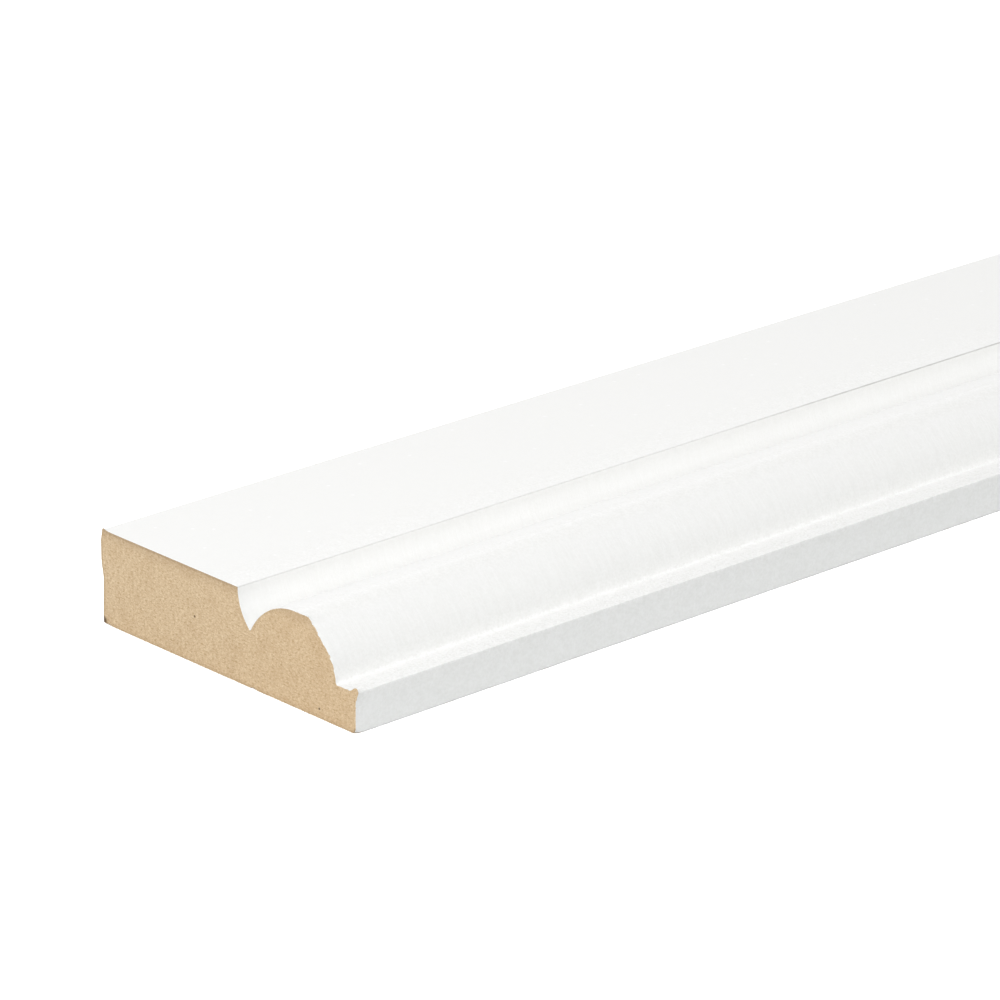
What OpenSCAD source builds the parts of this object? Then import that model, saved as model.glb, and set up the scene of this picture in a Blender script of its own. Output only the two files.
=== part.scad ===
// A length of architrave moulding, machined from one board of fibreboard.
// The section lies in the Y-Z plane and runs along X. The board lies on its back, face up, with the thin
// nose edge at -Y and the thick outer edge at +Y. The origin is at the middle of the back.
// From the nose edge the section runs level along a fillet, climbs a rounded front to a level crest, rolls
// down into a quirk, rises up a hollow wall to a sharp arris, and runs level to the outer edge.

/* [Board] */
// Length of the board
length = 2100; // [300:50:4800]
// Width from the nose edge to the outer edge
width = 69; // [50:1:150]
// Thickness from the back to the face
thickness = 18; // [15:0.5:30]

/* [Nose and fillet] */
// Height of the nose edge above the back
nose_h = 7.6; // [4:0.1:12]
// Width of the fillet, from the nose edge to the foot of the roll
fillet_w = 5.1; // [3:0.1:8]
// Radius that eases the arris of the nose
nose_ease = 0.4; // [0.2:0.1:1.5]

/* [Roll] */
// Distance from the nose edge to the front of the crest
crest_at = 12.2; // [11:0.1:14]
// Width of the level crest
crest_w = 4.3; // [2:0.1:6]
// Slope of the front of the roll, in degrees
front_slope = 45; // [38:1:55]
// Radius between the front slope and the foot of the roll
front_r = 9.3; // [7:0.1:12]
// Radius of the roll behind the crest
roll_r = 13.7; // [11:0.1:18]
// Angle at which the roll leaves the crest, in degrees
roll_fall = 3; // [1:0.5:10]

/* [Hollow and flat] */
// Distance from the nose edge to the arris where the flat starts
arris_at = 31.1; // [28:0.1:35]
// Radius of the hollow wall below that arris
hollow_r = 9.8; // [8:0.1:13]

/* [Outer edge] */
// Radius that eases the outer edge at the face
edge_ease = 1.2; // [0.3:0.1:3]
// How far the outer edge is set back at the back of the board
foot_relief = 0.3; // [0.1:0.05:1]
// How far the outer edge is set back where the set-back is deepest
relief = 0.6; // [0.2:0.05:2]
// Height of the deepest set-back above the back
relief_h = 8.7; // [5:0.1:10.5]
// Height at which the outer edge is back at its full width
relief_top = 11.8; // [11:0.1:13.5]

/* [Hidden] */
$fn = 96;

// White primer
PRIMER = [0.95, 0.95, 0.94];
// Cutters run past the board by this much
PAST = 2;

// Centre of the arc at the foot of the roll: it touches the front slope and a plumb line at the fillet
front_c_w = fillet_w + front_r;
front_c_h = thickness + ((front_c_w - crest_at) * sin(front_slope) - front_r) / cos(front_slope);
// Point where that arc runs into the front slope
front_t_w = front_c_w - front_r * sin(front_slope);
front_t_h = front_c_h + front_r * cos(front_slope);
// Back of the crest, and the centre of the roll that leaves it
crest_back = crest_at + crest_w;
roll_c_w = crest_back - roll_r * sin(roll_fall);
roll_c_h = thickness - roll_r * cos(roll_fall);
// Centre of the hollow wall, level with the face so that the wall is plumb at the arris
hollow_c_w = arris_at - hollow_r;

// The board before it is moulded, with the outer edge set back below mid height
module blank() {
    polygon([
        [0, 0],
        [width - foot_relief, 0],
        [width - relief, relief_h],
        [width, relief_top],
        [width, thickness],
        [0, thickness]
    ]);
}

// What stays standing in front of the crest: the front slope and the round foot below it
module front_of_roll() {
    translate([front_c_w, front_c_h])
        circle(r = front_r);
    polygon([
        [fillet_w, 0],
        [fillet_w, front_c_h],
        [front_t_w, front_t_h],
        [crest_at, thickness],
        [crest_at, 0]
    ]);
}

// Cut above the fillet, up to the front of the crest
module fillet_cut() {
    difference() {
        translate([-PAST, nose_h])
            square([crest_at + PAST, thickness - nose_h]);
        front_of_roll();
    }
}

// What stays standing behind the crest: the roll, plumb below its centre
module back_of_roll() {
    translate([roll_c_w, roll_c_h])
        circle(r = roll_r);
    square([roll_c_w + roll_r, roll_c_h]);
}

// Cut between the crest and the arris of the flat: the quirk with the hollow wall behind it
module quirk_cut() {
    difference() {
        intersection() {
            translate([hollow_c_w, thickness])
                circle(r = hollow_r);
            translate([crest_back, 0])
                square([arris_at - crest_back + PAST, thickness + PAST]);
        }
        back_of_roll();
    }
}

// Corner piece that rounds an arris at the origin of a board lying in the quarter below and to the left
module ease_cut(r) {
    difference() {
        translate([-r, -r])
            square(r + PAST);
        translate([-r, -r])
            circle(r = r);
    }
}

module section() {
    difference() {
        blank();
        fillet_cut();
        quirk_cut();
        translate([0, nose_h])
            mirror([1, 0])
                ease_cut(nose_ease);
        translate([width, thickness])
            ease_cut(edge_ease);
    }
}

module architrave_moulding() {
    color(PRIMER)
        translate([-length / 2, -width / 2, 0])
            rotate([90, 0, 90])
                linear_extrude(height = length)
                    section();
}

architrave_moulding();
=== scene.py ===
"""The looks of a length of white-primed architrave moulding, lying face up on a pale studio floor.

The board is one closed surface: its section is swept along the length, and each saw-cut end is closed by a
narrow rim of primer round a face of raw fibreboard. Every pattern is procedural and sits on the board
itself.
"""

import logging
import math
from dataclasses import dataclass, field
from enum import Enum
from functools import reduce

import bpy
import numpy as np
from mathutils import Matrix, Vector


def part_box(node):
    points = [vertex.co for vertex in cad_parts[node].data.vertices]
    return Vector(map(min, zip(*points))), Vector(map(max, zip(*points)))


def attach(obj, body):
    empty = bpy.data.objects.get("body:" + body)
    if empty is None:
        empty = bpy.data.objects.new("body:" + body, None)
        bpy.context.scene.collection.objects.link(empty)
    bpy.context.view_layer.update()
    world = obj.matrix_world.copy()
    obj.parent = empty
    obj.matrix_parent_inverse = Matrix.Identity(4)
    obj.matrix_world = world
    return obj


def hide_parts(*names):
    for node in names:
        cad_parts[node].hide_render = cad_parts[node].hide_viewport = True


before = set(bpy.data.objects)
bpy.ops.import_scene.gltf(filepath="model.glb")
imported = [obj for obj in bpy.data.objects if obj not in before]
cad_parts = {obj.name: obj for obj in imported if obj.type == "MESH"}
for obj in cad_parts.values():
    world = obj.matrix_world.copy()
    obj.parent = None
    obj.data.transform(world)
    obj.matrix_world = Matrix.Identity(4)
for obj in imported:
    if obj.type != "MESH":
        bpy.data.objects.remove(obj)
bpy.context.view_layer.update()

MM = 0.001
NODE = "architrave_moulding"
BAKE_UV = "OFBake"
LOG = logging.getLogger("architrave")

# A place on the section, a place or a scale in space, a linear colour, and one end of a link between nodes.
Point = tuple[float, float]
Triple = tuple[float, float, float]
Colour = tuple[float, float, float]
Socket = bpy.types.NodeSocket


def from_screen(red: int, green: int, blue: int) -> Colour:
    """A colour as a screen shows it, 0 to 255, turned into the linear light that the shaders work in.

    Args:
        red: red on the screen.
        green: green on the screen.
        blue: blue on the screen.

    Returns:
        The linear colour, by the sRGB curve.
    """
    c = np.array([red, green, blue]) / 255
    linear = np.where(c <= 0.04045, c / 12.92, ((c + 0.055) / 1.055) ** 2.4)
    return tuple(float(v) for v in linear)


def in_scene(name: str, data: bpy.types.ID) -> bpy.types.Object:
    """Makes an object of a mesh, a light or a camera, and puts it in the scene.

    Args:
        name: the object's name.
        data: what the object shows.

    Returns:
        The object.
    """
    made = bpy.data.objects.new(name, data)
    bpy.context.scene.collection.objects.link(made)
    return made


class Zone(Enum):
    """The strips that the section's outline is made of, in order round the board."""

    NOSE = 0
    FILLET = 1
    FOOT = 2
    SLOPE = 3
    CREST = 4
    ROLL = 5
    HOLLOW = 6
    FLAT = 7
    OUTER = 8
    BACK = 9


class Skin(Enum):
    """The board's three finishes, by their place in its list of materials."""

    PRIMER = 0
    CUT = 1
    BACK = 2


@dataclass(frozen=True)
class Leg:
    """One straight or round stretch of the outline, before the arrises at its ends are eased.

    ease is how much of it the ease of the arris at its end takes up, and ease_steps how many steps the
    parabola over that arris has. With none, the leg runs on into the next.
    """

    zone: Zone
    start: Point
    end: Point
    steps: int
    centre: Point | None
    ease: float
    ease_steps: int

    def length(self) -> float:
        """Length of the line or of the arc.

        Returns:
            The length in metres.
        """
        if self.centre is None:
            return math.dist(self.start, self.end)
        return math.dist(self.start, self.centre) * abs(self._angles()[1])

    def _angles(self) -> tuple[float, float]:
        """Where an arc runs, seen from its centre.

        Returns:
            Its first angle, and the turn to its last one by the short way.
        """
        first = math.atan2(self.start[1] - self.centre[1], self.start[0] - self.centre[0])
        last = math.atan2(self.end[1] - self.centre[1], self.end[0] - self.centre[0])
        turn = (last - first + math.pi) % (2 * math.pi) - math.pi
        return first, turn

    def at(self, t: np.ndarray) -> np.ndarray:
        """Points on the leg.

        A straight leg is start + t (end - start). A round one turns its start about the centre by t times
        the whole turn.

        Args:
            t: shares of the leg's length, from 0 to 1.

        Returns:
            One row of width and height for each share.
        """
        start = np.array(self.start)
        if self.centre is None:
            return start + t[:, None] * (np.array(self.end) - start)
        first, turn = self._angles()
        angle = first + turn * t
        radius = math.dist(self.start, self.centre)
        return np.array(self.centre) + radius * np.stack([np.cos(angle), np.sin(angle)], 1)


def eased(before: np.ndarray, corner: Point, after: np.ndarray, steps: int) -> np.ndarray:
    """The parabola that eases an arris.

    (1 - t)^2 before + 2 t (1 - t) corner + t^2 after, without its two end points.

    Args:
        before: the point where the leg before the arris ends.
        corner: the sharp arris.
        after: the point where the leg after it starts.
        steps: how many steps the parabola takes.

    Returns:
        The steps - 1 points between its ends.
    """
    t = np.linspace(0, 1, steps + 1)[1:-1, None]
    return (1 - t) ** 2 * before + 2 * t * (1 - t) * np.array(corner) + t**2 * after


def crowded(steps: int, share: float) -> np.ndarray:
    """Even steps from 0 to 1, with one more step of the given share close to each end.

    Args:
        steps: how many steps, at least 3.
        share: length of the first and the last step.

    Returns:
        steps + 1 rising values.
    """
    return np.concatenate([[0], np.linspace(share, 1 - share, steps - 1), [1]])


@dataclass
class Section:
    """The moulding's section: width runs from the nose edge to the outer edge, height from back to face.

    The eases say how far from its sharp arris each corner starts to round. A leg's first and last step are
    close_step long, or close_share of an even step if that is less.
    """

    width: float
    thickness: float
    nose_h: float = 7.6 * MM
    fillet_w: float = 5.1 * MM
    crest_at: float = 12.2 * MM
    crest_w: float = 4.3 * MM
    front_slope: float = math.radians(45)
    front_r: float = 9.3 * MM
    roll_r: float = 13.7 * MM
    roll_fall: float = math.radians(3)
    arris_at: float = 31.1 * MM
    hollow_r: float = 9.8 * MM
    foot_relief: float = 0.3 * MM
    relief: float = 0.6 * MM
    relief_h: float = 8.7 * MM
    relief_top: float = 11.8 * MM
    ease_nose: float = 0.25 * MM
    ease_inner: float = 0.5 * MM
    ease_crest: float = 2.0 * MM
    ease_quirk: float = 0.25 * MM
    ease_arris: float = 0.12 * MM
    ease_edge: float = 0.6 * MM
    ease_kink: float = 1.0 * MM
    ease_foot: float = 0.12 * MM
    half_steps: int = 4
    side_steps: int = 32
    close_step: float = 0.06 * MM
    close_share: float = 0.4
    points: np.ndarray = field(init=False)
    normals: np.ndarray = field(init=False)
    around: np.ndarray = field(init=False)
    zones: np.ndarray = field(init=False)
    top_steps: int = field(init=False)

    def __post_init__(self) -> None:
        """Works out the outline from the sizes."""
        self._trace()

    def _quirk(self, roll: Point, hollow: Point) -> Point:
        """The bottom of the quirk: the crossing, away from the crest, of the roll's circle and the hollow's.

        Args:
            roll: centre of the roll.
            hollow: centre of the hollow wall.

        Returns:
            The crossing.
        """
        gap = np.subtract(roll, hollow)
        apart = np.hypot(*gap)
        along = (self.hollow_r**2 - self.roll_r**2 + apart**2) / (2 * apart)
        aside = math.sqrt(self.hollow_r**2 - along**2)
        unit = gap / apart
        off = np.array([-unit[1], unit[0]]) * aside
        both = [np.array(hollow) + unit * along + off, np.array(hollow) + unit * along - off]
        return tuple(float(v) for v in max(both, key=lambda p: p[0]))

    def _legs(self) -> list[Leg]:
        """The outline's legs, in order round the board.

        Returns:
            The legs up the nose, over the face and down the outer edge. The back has none.
        """
        face = self.thickness
        sine, cosine = math.sin(self.front_slope), math.cos(self.front_slope)
        foot_w = self.fillet_w + self.front_r
        foot = (foot_w, face + ((foot_w - self.crest_at) * sine - self.front_r) / cosine)
        touch = (foot[0] - self.front_r * sine, foot[1] + self.front_r * cosine)
        low = foot[0] - math.sqrt(self.front_r**2 - (self.nose_h - foot[1]) ** 2)
        crest_back = self.crest_at + self.crest_w
        roll = (
            crest_back - self.roll_r * math.sin(self.roll_fall),
            face - self.roll_r * math.cos(self.roll_fall),
        )
        hollow = (self.arris_at - self.hollow_r, face)
        quirk = self._quirk(roll, hollow)
        wide = self.width
        stops = [
            (0.0, 0.0),
            (0.0, self.nose_h),
            (low, self.nose_h),
            touch,
            (self.crest_at, face),
            (crest_back, face),
            quirk,
            (self.arris_at, face),
            (wide, face),
            (wide, self.relief_top),
            (wide - self.relief, self.relief_h),
            (wide - self.foot_relief, 0.0),
        ]
        half = 2 * self.half_steps
        # Zone, steps, centre if it is an arc, then the ease of the arris at its end and the steps over it.
        plan = [
            (Zone.NOSE, self.side_steps - half, None, self.ease_nose, half),
            (Zone.FILLET, 20, None, self.ease_inner, 8),
            (Zone.FOOT, 20, foot, 0.0, 0),
            (Zone.SLOPE, 10, None, self.ease_crest, 8),
            (Zone.CREST, 8, None, 0.0, 0),
            (Zone.ROLL, 26, roll, self.ease_quirk, 6),
            (Zone.HOLLOW, 22, hollow, self.ease_arris, 4),
            (Zone.FLAT, 30, None, self.ease_edge, half),
            (Zone.OUTER, 5, None, self.ease_kink, 4),
            (Zone.OUTER, 4, None, self.ease_kink, 4),
            (Zone.OUTER, 7, None, self.ease_foot, half),
        ]
        return [Leg(row[0], stops[i], stops[i + 1], *row[1:]) for i, row in enumerate(plan)]

    def _trace(self) -> None:
        """Fills in points, normals, distance round the outline and zones.

        Each leg gives up the length of its arrises' eases, and a parabola takes its place. The back's
        points stand below the face's, so that the cut ends can be filled with plain rulings.
        """
        legs = self._legs()
        before = [self.ease_foot, *(leg.ease for leg in legs)]
        over = [0, *(leg.ease_steps for leg in legs)]
        ends, runs, zones = [], [], []
        for i, leg in enumerate(legs):
            size = leg.length()
            low, high = before[i] / size, 1 - leg.ease / size
            share = min(self.close_step / size, self.close_share / leg.steps)
            run = leg.at(low + (high - low) * crowded(leg.steps, share))
            ends.append((run[0], run[-1]))
            if over[i]:
                curve = eased(ends[i - 1][1], leg.start, run[0], over[i])
                runs.append(curve)
                zones += [leg.zone] * len(curve)
            skip = 1 if i and not over[i] else 0
            runs.append(run[skip:])
            zones += [leg.zone] * (len(run) - skip)
        half = 2 * self.half_steps
        foot_out = (self.width - self.foot_relief, 0.0)
        back_out = np.array([foot_out[0] - self.ease_foot, 0.0])
        back_in = np.array([self.ease_foot, 0.0])
        low_out = eased(ends[-1][1], foot_out, back_out, half)
        low_in = eased(back_in, (0.0, 0.0), ends[0][0], half)
        upper = np.concatenate(runs)
        into_nose = low_in[self.half_steps - 1 :]
        chain = np.concatenate([into_nose, upper, low_out[: self.half_steps]])
        zone_list = [Zone.NOSE] * len(into_nose) + zones + [Zone.OUTER] * self.half_steps
        self.top_steps = len(chain) - 1 - 2 * self.side_steps
        top = chain[self.side_steps : self.side_steps + self.top_steps + 1, 0]
        inner = top[self.half_steps : len(top) - self.half_steps]
        share = (inner - inner[0]) / (inner[-1] - inner[0])
        under = back_in[0] + (back_out[0] - back_in[0]) * share[::-1]
        back = np.stack([under, np.zeros_like(under)], 1)
        rest = [low_out[self.half_steps :], back, low_in[: self.half_steps - 1]]
        self.points = np.concatenate([chain, *rest])
        zone_list += [Zone.BACK] * (len(self.points) - len(chain))
        self.zones = np.array([z.value for z in zone_list])
        step = np.linalg.norm(np.roll(self.points, -1, 0) - self.points, axis=1)
        self.around = np.concatenate([[0], np.cumsum(step)[:-1]])
        tangent = np.roll(self.points, -1, 0) - np.roll(self.points, 1, 0)
        tangent /= np.linalg.norm(tangent, axis=1, keepdims=True)
        self.normals = np.stack([-tangent[:, 1], tangent[:, 0]], 1)

    def nearest(self, width: float, height: float) -> float:
        """Distance round the outline to the point nearest to a place on the section.

        Args:
            width: width of the place from the nose edge.
            height: height of the place above the back.

        Returns:
            The distance in metres.
        """
        gaps = np.linalg.norm(self.points - np.array([width, height]), axis=1)
        return float(self.around[np.argmin(gaps)])

    def girth(self) -> float:
        """Length of the whole outline in metres."""
        return float(self.around[-1] + np.linalg.norm(self.points[0] - self.points[-1]))

    def away(self, width: float, height: float) -> np.ndarray:
        """Distance of each point from a place on the section, round the outline by the short way.

        Args:
            width: width of the place from the nose edge.
            height: height of the place above the back.

        Returns:
            One distance for each point.
        """
        gap = np.abs(self.around - self.nearest(width, height))
        return np.minimum(gap, self.girth() - gap)

    def bell(self, width: float, height: float, spread: float) -> np.ndarray:
        """A bell curve round the outline: e to the power of -(distance / spread)^2.

        Args:
            width: width of its middle from the nose edge.
            height: height of its middle above the back.
            spread: distance at which it has fallen to about a third.

        Returns:
            One value for each point, 1 at the middle.
        """
        return np.exp(-((self.away(width, height) / spread) ** 2))

    def within(self, *zones: Zone) -> np.ndarray:
        """Which points lie in the given strips."""
        return np.isin(self.zones, [zone.value for zone in zones])

    def by_zone(self, values: dict[Zone, float]) -> np.ndarray:
        """One value for each point, by the strip that it lies in."""
        return np.array([values[Zone(z)] for z in self.zones])

    def front_at(self, height: float) -> float:
        """Width at which the front of the roll has a given height."""
        front = self.within(Zone.FOOT, Zone.SLOPE)
        return float(np.interp(height, self.points[front, 1], self.points[front, 0]))

    def soft_normals(self, reach: float) -> np.ndarray:
        """Normals averaged along the outline, so that an inset made with them never crosses at an arris.

        Each is the mean of the normals within reach, weighed by the length that each point stands for. Its
        length falls below 1 where the outline turns.

        Args:
            reach: how far each way the mean looks, in metres.

        Returns:
            One averaged normal for each point.
        """
        gap = np.abs(self.around[:, None] - self.around[None, :])
        gap = np.minimum(gap, self.girth() - gap)
        step = np.gradient(self.around)
        weight = np.clip(1 - gap / reach, 0, None) * step[None, :]
        return weight @ self.normals / weight.sum(1, keepdims=True)


@dataclass(frozen=True)
class Mark:
    """A burr or a chip that the saw left on the outline: it moves the outline most at the cut itself.

    width and height are its middle on the section, and shift is how far it moves the outline there.
    spread is how wide it is round the outline, and reach how far it runs in from the cut.
    """

    width: float
    height: float
    shift: Point
    spread: float
    reach: float


@dataclass(frozen=True)
class Coat:
    """How the primer lies at one place of the section, width and height in millimetres.

    thin runs from 0, pooled and whitest, to 1, worn thinner and greyest. Besides the primer's own
    thickness it holds painted light: it lightens or darkens each strip, with painted highlights at the
    fillet's inner corner and on the crest. fur is how strongly fibres mottle it, knife how strongly the
    moulding knife's marks show through, torn how far the saw pulled it off at a cut, and nibs how thickly
    specks of dust lie in it.
    """

    width: float
    height: float
    thin: float
    fur: float
    knife: float
    torn: float
    nibs: float = 0.0


def ripple(x: np.ndarray, wave: float, rng: np.random.Generator, count: int = 7) -> np.ndarray:
    """A smooth, random, seeded line.

    The sum of a few sines whose wavelengths lie about the given one and whose phases are drawn at random.

    Args:
        x: where it is worked out.
        wave: middle wavelength, in the units of x.
        rng: source of the draws.
        count: how many sines.

    Returns:
        Values with a spread of about 1.
    """
    waves = wave * rng.uniform(0.5, 1.8, count)
    phases = rng.uniform(0, 2 * math.pi, count)
    return np.sin(2 * math.pi * x[..., None] / waves + phases).sum(-1) * math.sqrt(2 / count)


@dataclass
class Atlas:
    """Where each part of the board's surface lies on its own UV map.

    The cut end and the stretch next to it get most of the map, because they hold the finest detail, and so
    do the moulded strips against the flat and the back. end_room is kept free below a cut end for what the
    saw pushed down there.
    """

    length: float
    section: Section
    near: float = 0.24
    margin: float = 0.006
    left: float = 0.012
    span: float = 0.97
    end_low: float = 0.735
    far_scale: float = 0.46
    end_room: float = 0.5 * MM
    row_lows: tuple[float, ...] = (0.225, 0.155, 0.085, 0.015)
    row_highs: tuple[float, ...] = (0.585, 0.215, 0.145, 0.075)

    def end(self, width: np.ndarray, height: np.ndarray, far: bool) -> np.ndarray:
        """Places on a cut end, laid flat at the top of the map.

        Args:
            width: widths from the nose edge.
            height: heights above the back.
            far: True for the far end, which gets about half the scale.

        Returns:
            One row of u and v for each place.
        """
        s = self.section
        scale = (self.far_scale if far else self.span) / s.width
        drop = s.thickness * self.far_scale / s.width + 2 * self.margin if far else 0.0
        v = self.end_low - drop + (height + self.end_room) * scale
        return np.stack([self.left + width * scale, v], -1)

    def rows(self) -> np.ndarray:
        """Where each row of long surfaces starts and the last one ends, from the near end."""
        return np.concatenate([[0], np.linspace(self.near, self.length, len(self.row_lows))])

    def shares(self) -> np.ndarray:
        """Share of a row's height below each point of the outline, and 1 at its end.

        It is the running sum of each step's length times the weight of its zone.

        Returns:
            Rising values, one more than the outline has points.
        """
        s = self.section
        weights = {Zone.NOSE: 0.8, Zone.FILLET: 1.6, Zone.FOOT: 1.2, Zone.SLOPE: 1.0, Zone.CREST: 1.2}
        weights |= {Zone.ROLL: 1.0, Zone.HOLLOW: 1.6, Zone.FLAT: 0.55, Zone.OUTER: 0.5, Zone.BACK: 0.2}
        step = np.linalg.norm(np.roll(s.points, -1, 0) - s.points, axis=1)
        total = np.cumsum(step * s.by_zone(weights))
        return np.concatenate([[0], total / total[-1]])

    def side(self, x: np.ndarray, share: np.ndarray, row: np.ndarray) -> np.ndarray:
        """Places on the long surfaces.

        Args:
            x: distances from the near end.
            share: shares of the row's height.
            row: number of the row that the face lies in.

        Returns:
            One row of u and v for each place.
        """
        starts, stops = self.rows()[:-1], self.rows()[1:]
        low, high = np.array(self.row_lows)[row], np.array(self.row_highs)[row]
        u = self.left + self.span * (x - starts[row]) / (stops - starts)[row]
        return np.stack([u, low + (high - low) * share], -1)


@dataclass(frozen=True)
class Noise:
    """A cloudy noise: its lumps per metre, one number or one for each axis, and its finer layers.

    detail is how many finer layers it has, and rough how strong they are.
    """

    lumps: float | Triple
    detail: float = 2.0
    rough: float = 0.5


class Graph:
    """A slim cover over a material's node tree, so that a finish reads as a list of steps."""

    def __init__(self, name: str) -> None:
        """Makes the material with a bare Principled shader.

        Args:
            name: the material's name.
        """
        self.material = bpy.data.materials.new(name)
        self.material.use_nodes = True
        self.tree = self.material.node_tree
        self.shader = self.tree.nodes["Principled BSDF"]
        self.place = self.node("ShaderNodeTexCoord").outputs["Object"]
        self.axes = self.node("ShaderNodeSeparateXYZ", {0: self.place}).outputs

    def put(self, socket: Socket, value: object) -> None:
        """Links an output to a socket, or sets the socket to a value.

        Args:
            socket: the socket to fill.
            value: another node's output, a number, a triple or a colour.
        """
        if isinstance(value, Socket):
            self.tree.links.new(value, socket)
        elif socket.type == "RGBA":
            socket.default_value = (*value, 1)
        else:
            socket.default_value = value

    def node(self, kind: str, inputs: dict | None = None, **settings: object) -> bpy.types.Node:
        """Adds a node.

        Args:
            kind: Blender's name for the node.
            inputs: socket name or number to a value or to another node's output.
            settings: the node's own properties.

        Returns:
            The node.
        """
        made = self.tree.nodes.new(kind)
        for name, value in settings.items():
            setattr(made, name, value)
        for socket, value in (inputs or {}).items():
            self.put(made.inputs[socket], value)
        return made

    def sums(self, kind: str, a: object, b: object = 0.0, c: object = 0.0) -> Socket:
        """One step of arithmetic on one to three values, by Blender's name for it."""
        return self.node("ShaderNodeMath", {0: a, 1: b, 2: c}, operation=kind).outputs[0]

    def added(self, start: object, *terms: tuple[Socket, float]) -> Socket:
        """A value plus each further one times its weight.

        Args:
            start: the first value.
            terms: each further value and its weight.

        Returns:
            The sum.
        """
        total = start
        for value, weight in terms:
            total = self.sums("MULTIPLY_ADD", value, weight, total)
        return total

    def most(self, values: list[Socket]) -> Socket:
        """The greatest of several values."""
        return reduce(lambda a, b: self.sums("MAXIMUM", a, b), values)

    def band(
        self, value: object, low: float, high: float, at_low: float = 0.0, at_high: float = 1.0
    ) -> Socket:
        """A smooth step of a value: at_low below low, at_high above high.

        Args:
            value: the socket to read.
            low: where the step starts.
            high: where it ends.
            at_low: result before the step.
            at_high: result after it.

        Returns:
            The step's output.
        """
        inputs = {"Value": value, "From Min": low, "From Max": high, "To Min": at_low, "To Max": at_high}
        return self.node("ShaderNodeMapRange", inputs, interpolation_type="SMOOTHSTEP").outputs[0]

    def noise(self, kind: Noise) -> Socket:
        """The noise's value at each place, from 0 to 1.

        Args:
            kind: the noise.

        Returns:
            Its output.
        """
        place, scale = self.place, kind.lumps
        if isinstance(scale, tuple):
            place = self.node("ShaderNodeMapping", {"Vector": place, "Scale": scale}).outputs[0]
            scale = 1.0
        inputs = {"Vector": place, "Scale": scale, "Detail": kind.detail, "Roughness": kind.rough}
        return self.node("ShaderNodeTexNoise", inputs).outputs["Fac"]

    def swing(self, kind: Noise) -> Socket:
        """A noise spread to run from -1 to 1, since nearly all of it lies between 0.3 and 0.7."""
        return self.band(self.noise(kind), 0.3, 0.7, -1.0, 1.0)

    def cells(self, scale: float) -> bpy.types.NodeOutputs:
        """Outputs of a flat cell pattern, seen from above, with the given cells per metre."""
        inputs = {"Vector": self.place, "Scale": scale}
        return self.node("ShaderNodeTexVoronoi", inputs, voronoi_dimensions="2D").outputs

    def inward(self, axis: int, half: float) -> Socket:
        """Distance in, along an axis, from the nearer of two sides that lie half from the middle."""
        return self.sums("SUBTRACT", half, self.sums("ABSOLUTE", self.axes[axis]))

    def apart(self, across: float, above: float) -> Socket:
        """Distance from a line that runs along the board: the root of the sum of the two squares.

        Args:
            across: the line's place across the board, from its middle.
            above: its height.

        Returns:
            The distance in metres.
        """
        y = self.sums("SUBTRACT", self.axes[1], across)
        z = self.sums("SUBTRACT", self.axes[2], above)
        return self.sums("SQRT", self.sums("MULTIPLY_ADD", y, y, self.sums("MULTIPLY", z, z)))

    def mixed(self, share: object, a: object, b: object) -> Socket:
        """Two colours mixed by a share.

        Args:
            share: from 0, all of the first, to 1, all of the second.
            a: the first colour.
            b: the second colour.

        Returns:
            The mixed colour.
        """
        # By number, because the node has sockets of one name for each kind of value.
        return self.node("ShaderNodeMix", {0: share, 6: a, 7: b}, data_type="RGBA").outputs[2]

    def kept(self, name: str) -> Socket:
        """A value that the mesh carries at each point."""
        return self.node("ShaderNodeAttribute", attribute_name=name).outputs["Fac"]

    def relief(self, height: Socket, depth: float) -> None:
        """Turns a height from 0 to 1 into bumps of the given depth in metres."""
        bump = self.node("ShaderNodeBump", {"Height": height, "Strength": 1.0, "Distance": depth})
        self.put(self.shader.inputs["Normal"], bump.outputs[0])

    def dress(self, colour: Socket, roughness: float, gloss: float) -> bpy.types.Material:
        """Feeds the shader.

        Args:
            colour: the surface's colour.
            roughness: how matt it is, from 0 to 1.
            gloss: how strongly it reflects, from 0 to 1.

        Returns:
            The material.
        """
        self.put(self.shader.inputs["Base Color"], colour)
        self.put(self.shader.inputs["Roughness"], roughness)
        self.put(self.shader.inputs["Specular IOR Level"], gloss)
        return self.material


@dataclass(frozen=True)
class Nibs:
    """One size of dust specks under the primer.

    cells is how many cells a metre has, and a cell bears a speck if its random draw is above rare. The
    specks grow in where what the mesh carries rises from sparse to full.
    """

    cells: float
    rare: float
    sparse: float
    full: float


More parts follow.
